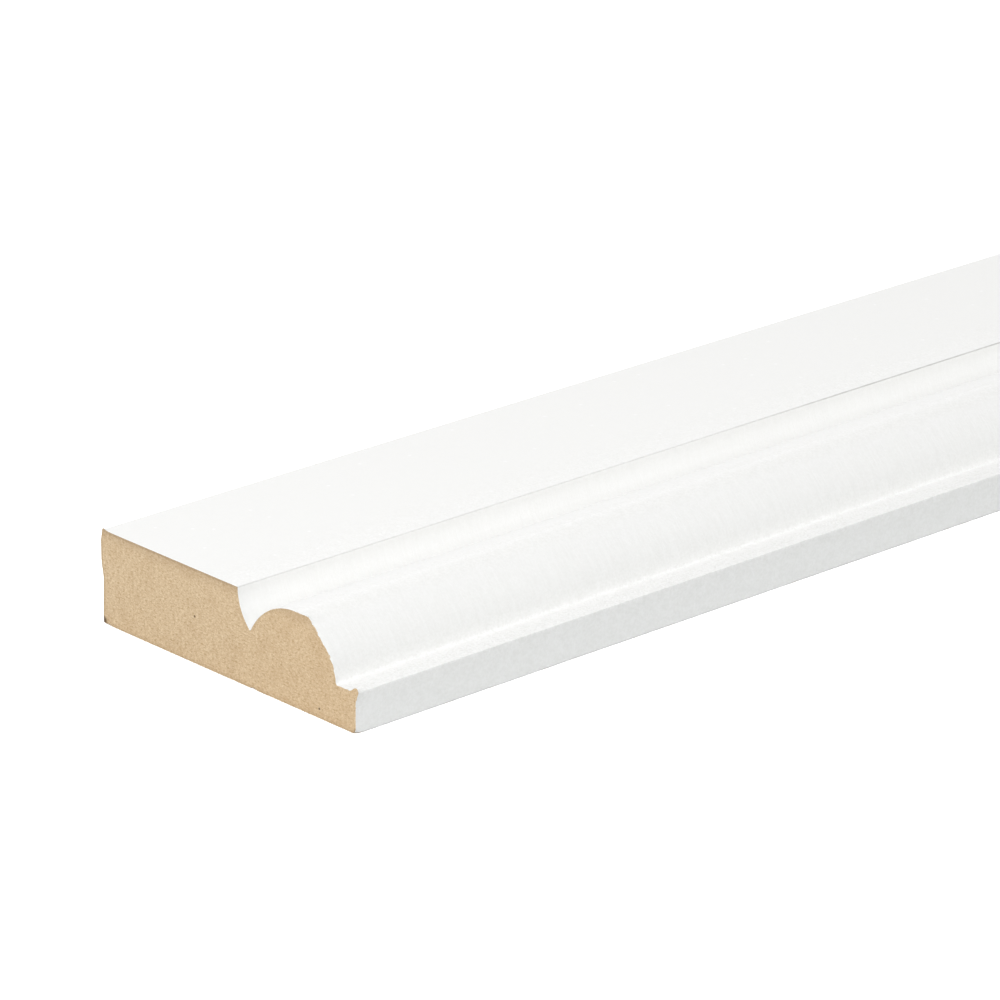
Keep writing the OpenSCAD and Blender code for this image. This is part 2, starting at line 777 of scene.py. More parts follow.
@dataclass(frozen=True)
class Primer:
    """Matt white primer: smooth on the flat, mottled by fibres where the board was moulded.

    arris is the place, across the board, and the height of the arris beside the quirk, along which runs a
    painted shadow line of dark grey. line is how far from the arris the painted line ends, and line_core the
    share of that where it is in full. Between the two distances line_near from a cut it comes to its full
    force from line_weak. tear is how far in from a cut fibres can show, and tear_edge how far within that
    they begin to show and show in full. draw_edge is how far the draw of a nib's cell has to pass the least
    one for a nib of full height.
    """

    arris: Point
    half_length: float
    # thick, the whitest tone, is pooled primer and also the painted highlight at the fillet's inner corner
    # and on the crest.
    thick: Colour = from_screen(251, 251, 250)
    # The greyest tone: primer worn thinner, and painted shade.
    thin: Colour = from_screen(226, 226, 222)
    # Painted shade: the dark grey of the shadow line along the arris beside the quirk.
    arris_shadow: Colour = from_screen(199, 199, 196)
    fibre: Colour = from_screen(214, 184, 140)
    roughness: float = 0.62
    gloss: float = 0.35
    depth: float = 0.03 * MM
    stipple: Noise = Noise(2100.0, rough=0.6)
    blotch: Noise = Noise(620.0)
    knife_marks: Noise = Noise((1500.0, 130.0, 130.0), rough=0.55)
    line: float = 0.31 * MM
    line_core: float = 0.3
    line_near: Point = (0.11, 0.16)
    line_weak: float = 0.42
    line_slow: Noise = Noise((9.0, 0.0, 0.0))
    line_ragged: Noise = Noise((500.0, 90.0, 90.0))
    tear: float = 0.4 * MM
    tear_edge: Point = (0.02 * MM, 0.08 * MM)
    tear_ragged: Noise = Noise(1000.0, 3.0)
    nib_radius: float = 0.42 * MM
    draw_edge: float = 0.04
    nibs: tuple[Nibs, ...] = (Nibs(95.0, 0.35, 0.2, 0.5), Nibs(230.0, 0.55, 0.5, 1.0))

    def _arris_shadow_line(self, g: Graph) -> Socket:
        """A narrow line of painted shadow along the arris beside the quirk, weaker near the cut ends.

        A smooth step of the distance to the arris, times a slow noise and a ragged one along it, times a
        smooth step of the distance from the nearer cut.

        Args:
            g: the finish's graph.

        Returns:
            The share of the painted shadow line's dark grey.
        """
        slow = g.band(g.noise(self.line_slow), 0.35, 0.65, 0.85, 1.0)
        ragged = g.band(g.noise(self.line_ragged), 0.3, 0.6, 0.75, 1.0)
        near = g.band(g.inward(0, self.half_length), *self.line_near, self.line_weak, 1.0)
        force = g.sums("MULTIPLY", near, g.sums("MULTIPLY", slow, ragged))
        close = g.band(g.apart(*self.arris), self.line_core * self.line, self.line, 1.0, 0.0)
        return g.sums("MULTIPLY", close, force)

    def _torn(self, g: Graph) -> Socket:
        """Where the saw pulled the primer off beside a cut: fibres show up to a ragged limit from the cut.

        Args:
            g: the finish's graph.

        Returns:
            The share of bare fibre.
        """
        reach = g.sums("MULTIPLY", g.band(g.noise(self.tear_ragged), 0.4, 0.65), self.tear)
        limit = g.sums("MULTIPLY", reach, g.kept("torn"))
        return g.band(g.sums("SUBTRACT", limit, g.inward(0, self.half_length)), *self.tear_edge)

    def _dust(self, g: Graph) -> Socket:
        """Nibs of dust under the primer: round specks of two kinds, one only where they lie thick.

        Each is a smooth step of the distance to the middle of a flat cell, in those cells whose random
        colour is high enough.

        Args:
            g: the finish's graph.

        Returns:
            The height of the nibs, 0 to 1.
        """
        thick = g.kept("nibs")
        specks = []
        for kind in self.nibs:
            cell = g.cells(kind.cells)
            drawn = g.node("ShaderNodeSeparateColor", {0: cell["Color"]}).outputs[0]
            radius = self.nib_radius * kind.cells
            speck = g.band(cell["Distance"], 0.5 * radius, radius, 1.0, 0.0)
            speck = g.sums("MULTIPLY", speck, g.band(drawn, kind.rare, kind.rare + self.draw_edge))
            specks.append(g.sums("MULTIPLY", speck, g.band(thick, kind.sparse, kind.full)))
        return g.most(specks)

    def material(self) -> bpy.types.Material:
        """The primer's material.

        Its colour runs from pooled to thinner primer by what the mesh carries, a tone that also holds
        painted highlight and shade, mottled by two sizes of noise. Along the arris beside the quirk a
        painted shadow line darkens it. Its height is the sum of the same mottle, knife marks across the
        moulded strips, and nibs of dust.

        Returns:
            The material.
        """
        g = Graph("white_primer")
        fur = g.kept("fur")
        mottle = g.sums("MULTIPLY", g.swing(self.stipple), fur)
        cloud = g.sums("MULTIPLY", g.swing(self.blotch), fur)
        streak = g.sums("MULTIPLY", g.swing(self.knife_marks), g.kept("knife"))
        dust = self._dust(g)
        # Painted light as well as real primer: the tone that the mesh carries lightens or darkens each
        # strip, with painted highlights at the fillet's inner corner and on the crest.
        share = g.added(g.kept("thin"), (mottle, 0.1), (cloud, 0.04), (streak, 0.07), (dust, -0.35))
        colour = g.mixed(share, self.thick, self.thin)
        # Painted shade: the shadow line along the arris beside the quirk, in dark grey.
        colour = g.mixed(self._arris_shadow_line(g), colour, self.arris_shadow)
        colour = g.mixed(self._torn(g), colour, self.fibre)
        g.relief(g.added(0.0, (cloud, 0.3), (mottle, 0.35), (streak, 0.5), (dust, 0.6)), self.depth)
        return g.dress(colour, self.roughness, self.gloss)


@dataclass(frozen=True)
class Spot:
    """A dark spot on the near cut: its place on the section, its radius and how dark its middle is.

    core is the share of the radius within which it is as dark as its middle.
    """

    width: float
    height: float
    radius: float
    force: float = 0.9
    core: float = 0.4


@dataclass(frozen=True)
class SawnFace:
    """Raw fibreboard where the saw went through: tan felted fibres, denser and darker under the face.

    skin says how far below the face the dense layer begins and is in full, warm_skin how far above the back
    the warm one is in full and ends, and edge_line how far in from the outline the darker line along it does
    so.
    The fibres make these limits uneven by up to half of skin_ragged and edge_line_ragged each way.
    """

    half_width: float
    thickness: float
    pale: Colour = from_screen(234, 212, 180)
    tan: Colour = from_screen(213, 187, 151)
    brown: Colour = from_screen(180, 148, 110)
    dense: Colour = from_screen(164, 138, 108)
    warm: Colour = from_screen(216, 172, 118)
    dark_spot: Colour = from_screen(92, 72, 52)
    roughness: float = 0.92
    gloss: float = 0.15
    depth: float = 0.08 * MM
    grain: Noise = Noise(1500.0, rough=0.6)
    fine: Noise = Noise(3300.0, rough=0.65)
    strand: Noise = Noise((1000.0, 1300.0, 3400.0), 1.0, 0.6)
    coarse: Noise = Noise(260.0)
    skin: Point = (2.8 * MM, 0.4 * MM)
    warm_skin: Point = (0.3 * MM, 1.6 * MM)
    edge_line: Point = (0.25 * MM, 0.7 * MM)
    skin_ragged: float = 0.8 * MM
    edge_line_ragged: float = 0.4 * MM
    spots: tuple[Spot, ...] = (
        Spot(43.0 * MM, 8.9 * MM, 0.32 * MM),
        Spot(9.6 * MM, 1.75 * MM, 0.32 * MM),
        # The last two darken the cut's two bottom corners, next to the floor.
        Spot(68.6 * MM, 0.55 * MM, 1.2 * MM),
        Spot(0.0, 0.35 * MM, 0.8 * MM, 0.45),
    )

    def _spots(self, g: Graph) -> Socket:
        """The dark spots of the near cut: two flecks of bark, and two dark patches at its bottom corners.

        Args:
            g: the finish's graph.

        Returns:
            The share of the spots' dark colour.
        """
        shares = []
        for spot in self.spots:
            far = g.apart(spot.width - self.half_width, spot.height)
            shares.append(g.band(far, spot.core * spot.radius, spot.radius, spot.force, 0.0))
        near = g.sums("LESS_THAN", g.axes[0], 0.0)
        return g.sums("MULTIPLY", g.most(shares), near)

    def material(self) -> bpy.types.Material:
        """The sawn face's material.

        Fibres are noise at three sizes, mixed from tan to pale and brown, and slightly warmer toward the
        nose. The dense layer under the face and the warm one at the back are smooth steps of the height.
        A darker line just inside the outline, strongest under the flat, follows it by what the mesh carries.

        Returns:
            The material.
        """
        g = Graph("sawn_fibreboard")
        grain, fine = g.noise(self.grain), g.noise(self.fine)
        light = g.added(0.0, (grain, 0.35), (fine, 0.65))
        deep = g.added(0.0, (fine, 0.4), (g.noise(self.strand), 0.6))
        uneven = g.sums("SUBTRACT", grain, 0.5)
        height = g.added(g.axes[2], (uneven, self.skin_ragged))
        face = self.thickness
        colour = g.mixed(g.band(light, 0.44, 0.62), self.tan, self.pale)
        # What is read, where its step starts and ends, the share before and after it, and the colour.
        layers = (
            (deep, 0.5, 0.66, 0.0, 0.75, self.brown),
            (g.noise(self.coarse), 0.4, 0.7, 0.0, 0.18, self.brown),
            (g.axes[1], -self.half_width, 0.4 * self.half_width, 0.1, 0.0, self.warm),
            (height, face - self.skin[0], face - self.skin[1], 0.0, 0.23, self.dense),
            (height, *self.warm_skin, 0.06, 0.0, self.warm),
            (height, *self.warm_skin, 0.08, 0.0, self.dense),
        )
        for *step, over in layers:
            colour = g.mixed(g.band(*step), colour, over)
        # A darker line just inside the outline of the cut, strongest under the flat.
        inset = g.added(g.kept("inset"), (uneven, self.edge_line_ragged))
        edge_share = g.sums("MULTIPLY", g.band(inset, *self.edge_line, 0.5, 0.0), g.kept("edge_line"))
        colour = g.mixed(edge_share, colour, self.dense)
        g.relief(light, self.depth)
        return g.dress(g.mixed(self._spots(g), colour, self.dark_spot), self.roughness, self.gloss)


@dataclass(frozen=True)
class SandedBack:
    """The raw back: smooth sanded fibreboard, with primer that has crept round from both edges."""

    half_width: float
    tan: Colour = from_screen(196, 167, 128)
    brown: Colour = from_screen(171, 138, 98)
    primer: Colour = from_screen(240, 239, 236)
    roughness: float = 0.7
    gloss: float = 0.25
    depth: float = 0.02 * MM
    sanding: Noise = Noise((12.0, 1400.0, 1400.0), 3.0, 0.6)
    fibre: Noise = Noise(1600.0, 3.0, 0.6)
    creep: float = 1.6 * MM
    creep_edge: float = 0.15 * MM
    creep_ragged: Noise = Noise(260.0, 4.0, 0.65)

    def material(self) -> bpy.types.Material:
        """The back's material.

        Long sanding streaks run along the board over cloudy fibres. The primer's edge is where the distance
        to the nearer long edge falls below a noisy limit.

        Returns:
            The material.
        """
        g = Graph("sanded_back")
        share = g.added(0.0, (g.noise(self.fibre), 0.5), (g.noise(self.sanding), 0.5))
        colour = g.mixed(g.band(share, 0.4, 0.62), self.tan, self.brown)
        limit = g.sums("MULTIPLY", g.band(g.noise(self.creep_ragged), 0.35, 0.75), self.creep)
        past = g.sums("SUBTRACT", limit, g.inward(1, self.half_width))
        colour = g.mixed(g.band(past, -self.creep_edge, self.creep_edge), colour, self.primer)
        g.relief(share, self.depth)
        return g.dress(colour, self.roughness, self.gloss)


@dataclass
class Board:
    """The length of moulding: one closed surface that takes the place of the CAD solid.

    film is how thick the primer is. On the roll it is crest_films of them and on the back back_films, and
    the nose and the torn front of the roll have films of their own. Stations stand close at both cuts and
    grow apart to shown_step over the shown stretch and to hidden_step over the rest. cap_bend is how far
    into a cut the bends of its two short sides are felt.
    """

    length: float
    section: Section
    atlas: Atlas
    film: float = 0.05 * MM
    nose_film: float = 0.09 * MM
    crest_films: float = 1.8
    back_films: float = 0.5
    torn_film: float = 0.02 * MM
    film_wave: float = 1.5 * MM
    film_span: Point = (-1.2, 1.6)
    nose_top: Point = (4.5 * MM, 6.8 * MM)
    top_share: float = 0.3
    nose_ragged: float = 0.25
    corner_loss: float = 0.85
    corner_reach: float = 0.6 * MM
    nose_torn: float = 0.22
    soft_reach: float = 0.35 * MM
    least_step: float = 0.008 * MM
    cap_bend: float = 3 * MM
    first_step: float = 0.1 * MM
    growth: float = 1.2
    far_growth: float = 1.5
    shown_step: float = 4 * MM
    shown: float = 0.26
    hidden_step: float = 32 * MM
    wander: float = 0.05 * MM
    wander_wave: float = 24 * MM
    wander_spreads: Point = (0.9 * MM, 0.7 * MM)
    seed: int = 18
    # The third value of each coat is partly the primer's thickness and partly painted light, set strip by
    # strip to lighten or darken it, with painted highlights at the fillet's inner corner and on the crest.
    coats: tuple[Coat, ...] = (
        Coat(0.0, 0.8, 0.16, 1.2, 0.0, 0.1),
        Coat(0.0, 4.0, 0.22, 1.2, 0.0, 0.1),
        Coat(0.0, 5.6, 0.27, 1.3, 0.0, 0.4),
        Coat(0.0, 7.0, 0.30, 1.4, 0.0, 1.1),
        Coat(0.4, 7.6, 0.18, 2.2, 0.0, 1.5),
        Coat(1.2, 7.6, 0.13, 2.6, 0.0, 0.5),
        Coat(3.4, 7.6, 0.09, 2.7, 0.0, 0.2),
        Coat(4.5, 7.6, 0.01, 2.4, 0.0, 0.2),
        Coat(5.0, 7.75, 0.03, 2.2, 0.0, 0.2),
        Coat(5.15, 8.1, 0.16, 1.8, 0.1, 0.2),
        Coat(5.2, 8.6, 0.26, 1.2, 0.2, 0.3),
        Coat(5.6, 10.0, 0.36, 0.9, 0.5, 0.4),
        Coat(7.3, 13.0, 0.29, 0.5, 0.6, 0.4),
        Coat(10.9, 16.7, 0.18, 0.6, 0.3, 0.4),
        Coat(12.3, 18.0, 0.32, 1.1, 0.2, 0.3),
        Coat(13.8, 18.0, 0.3, 1.2, 0.1, 0.2, 0.2),
        Coat(15.3, 18.0, 0.12, 1.2, 0.1, 0.2, 0.4),
        Coat(16.2, 18.0, 0.2, 1.2, 0.1, 0.2, 0.4),
        Coat(17.7, 17.9, 0.15, 0.9, 0.1, 0.2, 0.4),
        Coat(21.0, 17.0, 0.15, 0.5, 0.3, 0.2),
        Coat(27.9, 10.7, 0.30, 0.3, 0.3, 0.1),
        Coat(30.3, 14.1, 0.04, 0.4, 0.4, 0.1),
        Coat(30.8, 15.8, 0.15, 0.4, 0.4, 0.1),
        Coat(31.05, 17.0, 0.26, 0.5, 0.2, 0.1),
        Coat(31.3, 18.0, 0.14, 1.2, 0.0, 0.2, 1.0),
        Coat(32.6, 18.0, 0.2, 1.2, 0.0, 0.1, 1.0),
        Coat(38.5, 18.0, 0.25, 0.7, 0.0, 0.1, 0.6),
        Coat(44.0, 18.0, 0.25, 0.25, 0.0, 0.1, 0.5),
        Coat(66.0, 18.0, 0.26, 0.25, 0.0, 0.1, 0.4),
        Coat(68.9, 17.0, 0.25, 0.5, 0.0, 0.3),
        Coat(68.7, 0.5, 0.30, 0.7, 0.0, 0.1),
    )

    def _opening(self, growth: float, widest: float) -> np.ndarray:
        """Distances from a cut whose steps grow by a fixed factor.

        Args:
            growth: the factor.
            widest: where the steps stop growing.

        Returns:
            Rising distances, the first step's first.
        """
        count = math.ceil(math.log(widest / self.first_step, growth))
        return np.cumsum(self.first_step * growth ** np.arange(count))

    def stations(self) -> np.ndarray:
        """Distances from the near end at which the section is repeated.

        Steps grow by a fixed factor from each cut end, stay short over the shown stretch, and are long over
        the rest.

        Returns:
            Rising distances, from 0 to the length.
        """
        opening = self._opening(self.growth, self.shown_step)
        closing = self.length - self._opening(self.far_growth, self.hidden_step)[::-1]
        shown = np.linspace(opening[-1], self.shown, round((self.shown - opening[-1]) / self.shown_step) + 1)
        middle = np.linspace(self.shown, closing[0], round((closing[0] - self.shown) / self.hidden_step) + 1)
        return np.concatenate([[0], opening[:-1], shown, middle[1:], closing[1:], [self.length]])

    def _near_marks(self) -> list[Mark]:
        """Burrs and chips round the near cut, as the photograph shows them.

        Returns:
            The marks, the last five of them chips up the front of the roll.
        """
        s = self.section
        wide, face = s.width, s.thickness
        marks = [
            Mark(0.4 * MM, s.nose_h, (0.0, 1.0 * MM), 0.7 * MM, 0.4 * MM),
            Mark(0.0, s.nose_h - 0.35 * MM, (-0.6 * MM, 0.0), 0.7 * MM, 0.35 * MM),
            Mark(0.0, 0.0, (0.25 * MM, 0.3 * MM), 0.45 * MM, 0.8 * MM),
            Mark(wide - s.foot_relief, 0.0, (-0.12 * MM, 0.12 * MM), 0.4 * MM, 0.8 * MM),
            Mark(wide - 1.1 * MM, face, (0.0, 0.34 * MM), 0.9 * MM, 0.5 * MM),
            Mark(wide, face, (-0.15 * MM, -0.05 * MM), 0.5 * MM, 20.0 * MM),
            Mark(wide, face - 0.7 * MM, (-0.25 * MM, 0.0), 0.7 * MM, 0.5 * MM),
            Mark(s.crest_at, face, (-0.15 * MM, 0.3 * MM), 1.0 * MM, 1.0 * MM),
            Mark(27.0 * MM, 0.0, (0.0, 0.25 * MM), 0.6 * MM, 0.7 * MM),
            Mark(wide - 2.0 * MM, 0.0, (0.0, 0.2 * MM), 0.6 * MM, 0.7 * MM),
        ]
        depth = 0.12 * MM
        for height in (10.3, 12.1, 14.0, 15.5, 17.1):
            width = s.front_at(height * MM)
            marks.append(Mark(width, height * MM, (depth, -depth * 0.6), 0.4 * MM, 0.45 * MM))
        return marks

    def _far_marks(self) -> list[Mark]:
        """Burrs and chips round the far cut, which the photograph does not show.

        Returns:
            The marks.
        """
        s = self.section
        return [
            Mark(0.0, s.nose_h, (0.1 * MM, -0.15 * MM), 0.5 * MM, 0.7 * MM),
            Mark(0.0, 0.0, (0.2 * MM, 0.2 * MM), 0.6 * MM, 0.9 * MM),
            Mark(s.width - s.foot_relief, 0.0, (-0.15 * MM, 0.2 * MM), 0.4 * MM, 0.6 * MM),
            Mark(s.crest_at, s.thickness, (-0.12 * MM, 0.25 * MM), 1.0 * MM, 1.0 * MM),
            Mark(s.width, s.thickness, (-0.15 * MM, -0.1 * MM), 0.7 * MM, 0.9 * MM),
        ]

    def _wear(self, marks: list[Mark], distance: np.ndarray) -> np.ndarray:
        """How far the marks move the outline, at each station and point.

        Each mark is its shift times a bell curve of the distance round the outline, times a falling
        exponential of the distance from the cut.

        Args:
            marks: the burrs and chips.
            distance: distance of each station from the cut.

        Returns:
            Width and height of the move, by station and point.
        """
        moved = np.zeros((len(distance), len(self.section.around), 2))
        for mark in marks:
            bell = self.section.bell(mark.width, mark.height, mark.spread)
            strength = np.exp(-distance / mark.reach)[:, None] * bell
            moved += strength[..., None] * np.array(mark.shift)
        return moved

    def _unevenness(self, x: np.ndarray, rng: np.random.Generator) -> np.ndarray:
        """The slight wander of the nose's two arrises along the board.

        Args:
            x: distances from the near end.
            rng: source of the draws.

        Returns:
            How far the outline falls back, by station and point.
        """
        s = self.section
        push = np.zeros((len(x), len(s.around)))
        for height, spread in zip((s.nose_h, 0.0), self.wander_spreads):
            bell = s.bell(0.0, height, spread)
            push -= np.abs(ripple(x, self.wander_wave, rng))[:, None] * bell * self.wander
        return push

    def _rim(self, far: bool, rng: np.random.Generator) -> np.ndarray:
        """Width of the primer's rim on a cut end, round the outline.

        It is the film's thickness, which is greater on the nose but for its top, ragged there and on the
        front of the roll, and almost nothing at the two corners of the back. At last each width becomes the
        mean of itself and its two neighbours.

        Args:
            far: True for the far end.
            rng: source of the draws.

        Returns:
            The width at each point.
        """
        s = self.section
        nose, torn = s.within(Zone.NOSE), s.within(Zone.FOOT, Zone.SLOPE)
        width = np.full(len(s.zones), self.film)
        width[s.within(Zone.CREST, Zone.ROLL)] = self.crest_films * self.film
        width[nose] = self.nose_film
        width[s.within(Zone.BACK)] = self.back_films * self.film
        ragged = np.clip(ripple(s.around, self.film_wave, rng), *self.film_span)
        taper = np.interp(s.points[nose, 1], self.nose_top, [1.0, self.top_share])
        width[nose] *= taper * (1 + self.nose_ragged * ragged[nose])
        width[torn] += (0.5 if far else 1.0) * self.torn_film * (ragged[torn] - self.film_span[0])
        for corner in (0.0, s.width):
            width *= 1 - self.corner_loss * s.bell(corner, 0.0, self.corner_reach)
        padded = np.concatenate([width[-1:], width, width[:1]])
        return np.convolve(padded, np.ones(3) / 3, "valid")

    def _untangled(self, inner: np.ndarray) -> np.ndarray:
        """Keeps the rim's inner outline running one way, so that the rulings of the fill never cross.

        Along the face the width never falls: each is the greatest so far, with a least step. Along the back
        the same holds the other way.

        Args:
            inner: width and height of the inner outline.

        Returns:
            The outline with its widths put right.
        """
        tall, wide = self.section.side_steps, self.section.top_steps
        fixed = inner.copy()
        face = slice(tall, tall + wide + 1)
        slack = self.least_step * np.arange(wide + 1)
        fixed[face, 0] = np.maximum.accumulate(fixed[face, 0] - slack) + slack
        back = np.append(np.arange(2 * tall + wide, len(inner)), 0)
        slack = self.least_step * np.arange(len(back))
        fixed[back, 0] = np.minimum.accumulate(fixed[back, 0] + slack) - slack
        return fixed

    def _cap(self, inner: np.ndarray, first: int) -> tuple[np.ndarray, np.ndarray]:
        """Fills a cut end inside its rim.

        The four sides of the filled patch are the nose, the face, the outer edge and the back. A point of it
        lies on the ruling from the back to the face. Close to the nose and to the outer edge it moves with
        that edge's own bend, in full at the edge and then less and less.

        Args:
            inner: the rim's inner outline, width and height.
            first: number that the patch's first new vertex gets.

        Returns:
            Number of the vertex at each place of the patch, counted from the inner outline's first as 0,
            and the new vertices.
        """
        tall, wide = self.section.side_steps, self.section.top_steps
        count = len(inner)
        left = np.arange(0, tall + 1)
        top = np.arange(tall, tall + wide + 1)
        right = np.arange(tall + wide, 2 * tall + wide + 1)[::-1]
        bottom = np.append(np.arange(2 * tall + wide, count), 0)[::-1]
        t = np.linspace(0, 1, tall + 1)[None, :, None]
        patch = (1 - t) * inner[bottom][:, None] + t * inner[top][:, None]
        bend_left = inner[left] - patch[0]
        bend_right = inner[right] - patch[-1]
        near_left = np.clip(1 - (patch[..., :1] - patch[:1, :, :1]) / self.cap_bend, 0, 1)
        near_right = np.clip(1 - (patch[-1:, :, :1] - patch[..., :1]) / self.cap_bend, 0, 1)
        patch = patch + near_left * bend_left + near_right * bend_right
        number = np.zeros((wide + 1, tall + 1), int)
        number[0], number[-1] = left, right
        number[:, -1], number[:, 0] = top, bottom
        inside = patch[1:-1, 1:-1].reshape(-1, 2)
        number[1:-1, 1:-1] = first + np.arange(len(inside)).reshape(wide - 1, tall - 1)
        return number, inside

    def _sides(self, x: np.ndarray, outline: np.ndarray) -> tuple[np.ndarray, ...]:
        """The long surfaces: the outline at each station, joined to the next.

        Args:
            x: distances of the stations from the near end.
            outline: width and height by station and point.

        Returns:
            Vertices, faces, material number of each face and UV of its corners.
        """
        rounds, count = outline.shape[:2]
        verts = self._placed(np.repeat(x, count), outline.reshape(-1, 2))
        here = np.arange(rounds * count).reshape(rounds, count)
        beside = np.roll(here, -1, 1)
        faces = np.stack([here[:-1], here[1:], beside[1:], beside[:-1]], -1).reshape(-1, 4)
        skins = np.where(self.section.within(Zone.BACK), Skin.BACK.value, Skin.PRIMER.value)
        return verts, faces, np.tile(skins, rounds - 1), self._side_uv(x)

    def _end(
        self, ring: np.ndarray, rim: np.ndarray, far: bool, outer: int, first: int
    ) -> tuple[np.ndarray, ...]:
        """A cut end: the rim of primer, and the sawn face inside it.

        Args:
            ring: width and height of the outline at the cut.
            rim: how far the rim reaches in from each point, as width and height.
            far: True for the far end.
            outer: number of the outline's first vertex.
            first: number that the end's first new vertex gets.

        Returns:
            New vertices, faces, material number of each face and UV of its corners.
        """
        count = len(ring)
        inner = self._untangled(ring - rim)
        patch, inside = self._cap(inner, count)
        fresh = np.concatenate([inner, inside])
        verts = self._placed(np.full(len(fresh), self.length if far else 0.0), fresh)
        # Here the outline's points are numbered from 0 and the new ones follow them.
        edge, within = np.arange(count), count + np.arange(count)
        strip = np.stack([edge, np.roll(edge, -1), np.roll(within, -1), within], -1)
        patch = count + patch
        fill = np.stack([patch[:-1, :-1], patch[:-1, 1:], patch[1:, 1:], patch[1:, :-1]], -1).reshape(-1, 4)
        own = np.concatenate([strip, fill])
        if far:
            own = own[:, ::-1]
        flat = np.concatenate([ring, fresh])[own]
        strip_skin = np.where(self.section.within(Zone.BACK), Skin.CUT.value, Skin.PRIMER.value)
        skins = np.concatenate([strip_skin, np.full(len(fill), Skin.CUT.value)])
        faces = np.where(own < count, own + outer, own - count + first)
        return verts, faces, skins, self.atlas.end(flat[..., 0], flat[..., 1], far)

    def build(self) -> bpy.types.Object:
        """Makes the board's object, dressed.

        Returns:
            The object, at the origin, with its place in its mesh.
        """
        rng = np.random.default_rng(self.seed)
        s = self.section
        x = self.stations()
        soft = s.soft_normals(self.soft_reach)
        outline = s.points[None] + self._unevenness(x, rng)[..., None] * soft[None]
        outline += self._wear(self._near_marks(), x)
        outline += self._wear(self._far_marks(), self.length - x)
        parts = [self._sides(x, outline)]
        first = len(parts[0][0])
        for far in (False, True):
            outer = len(parts[0][0]) - len(soft) if far else 0
            rim = soft * self._rim(far, rng)[:, None]
            parts.append(self._end(outline[-1 if far else 0], rim, far, outer, first))
            first += len(parts[-1][0])
        return self._object(*(np.concatenate(part) for part in zip(*parts)))

    def _placed(self, x: np.ndarray, flat: np.ndarray) -> np.ndarray:
        """Places in the board's own frame, from distances along it and places on the section."""
        return np.stack([x - self.length / 2, flat[:, 0] - self.section.width / 2, flat[:, 1]], 1)

    def _side_uv(self, x: np.ndarray) -> np.ndarray:
        """UV of the four corners of each long face, in the order in which _sides lists them.

        Args:
            x: distances of the stations from the near end.

        Returns:
            Faces by corners by u and v.
        """
        share = self.atlas.shares()
        start, stop = share[:-1], share[1:]
        row = np.searchsorted(self.atlas.rows()[1:-1], (x[:-1] + x[1:]) / 2)
        row = np.repeat(row, len(start))
        low, high = np.repeat(x[:-1], len(start)), np.repeat(x[1:], len(start))
        first, last = np.tile(start, len(x) - 1), np.tile(stop, len(x) - 1)
        corners = ((low, first), (high, first), (high, last), (low, last))
        return np.stack([self.atlas.side(along, about, row) for along, about in corners], 1)

    def _object(
        self, verts: np.ndarray, faces: np.ndarray, skins: np.ndarray, uvs: np.ndarray
    ) -> bpy.types.Object:
        """Puts the arrays into a mesh and gives it its finishes.

        Args:
            verts: places of the vertices.
            faces: four vertex numbers for each face.
            skins: material number of each face.
            uvs: u and v of each face's corners.

        Returns:
            The object.
        """
        mesh = bpy.data.meshes.new("moulded_board")
        mesh.from_pydata(verts.tolist(), [], faces.tolist())
        mesh.polygons.foreach_set("material_index", skins.astype(np.int32))
        mesh.polygons.foreach_set("use_smooth", np.ones(len(faces), bool))
        layer = mesh.uv_layers.new(name=BAKE_UV)
        layer.data.foreach_set("uv", uvs.astype(np.float32).ravel())
        for name, values in self._carried(verts).items():
            kept = mesh.attributes.new(name, "FLOAT", "POINT")
            kept.data.foreach_set("value", values.astype(np.float32))
        s = self.section
        arris = (s.arris_at - s.width / 2, s.thickness)
        finishes = (
            Primer(arris, self.length / 2),
            SawnFace(s.width / 2, s.thickness),
            SandedBack(s.width / 2),
        )
        for finish in finishes:
            mesh.materials.append(finish.material())
        mesh.update()
        return in_scene("moulded_board", mesh)

    def _carried(self, verts: np.ndarray) -> dict[str, np.ndarray]:
        """What the finishes read at each vertex.

        On the long sides the primer's values run in straight lines from one named coat to the next, their
        tone partly painted highlight and shade, and on the cut ends the primer is thinner, with torn fibres
        along the nose.
        The sawn faces carry the distance in from the outline, and how strongly a darker line shows just
        inside the nearest part of the outline.

        Args:
            verts: places of the vertices, those of the long sides first.

        Returns:
            Name to one value for each vertex.
        """
        s = self.section
        stops = [s.nearest(coat.width * MM, coat.height * MM) for coat in self.coats]
        rounds = len(self.stations())
        sides = rounds * len(s.around)
        ends = len(verts) - sides
        carried = {}
        for name, plain in (("thin", 0.9), ("fur", 0.0), ("knife", 0.0), ("torn", 0.0), ("nibs", 0.0)):
            row = np.interp(s.around, stops, [getattr(coat, name) for coat in self.coats])
            carried[name] = np.concatenate([np.tile(row, rounds), np.full(ends, plain)])
        flat = verts[sides:, 1:] + np.array([s.width / 2, 0.0])
        gaps = np.linalg.norm(flat[:, None] - s.points[None], axis=2)
        closest = np.argmin(gaps, 1)
        # How strongly the darker line just inside the outline shows, by the strip nearest to it.
        force = {Zone.NOSE: 0.1, Zone.FILLET: 0.05, Zone.FOOT: 0.2, Zone.SLOPE: 0.25, Zone.CREST: 0.05}
        force |= {Zone.ROLL: 0.35, Zone.HOLLOW: 0.1, Zone.FLAT: 1.0, Zone.OUTER: 0.7, Zone.BACK: 0.4}
        carried["torn"][sides:][s.within(Zone.NOSE)[closest]] = self.nose_torn
        for name, values in (("inset", gaps.min(1)), ("edge_line", s.by_zone(force)[closest])):
            carried[name] = np.concatenate([np.zeros(sides), values])
        return carried


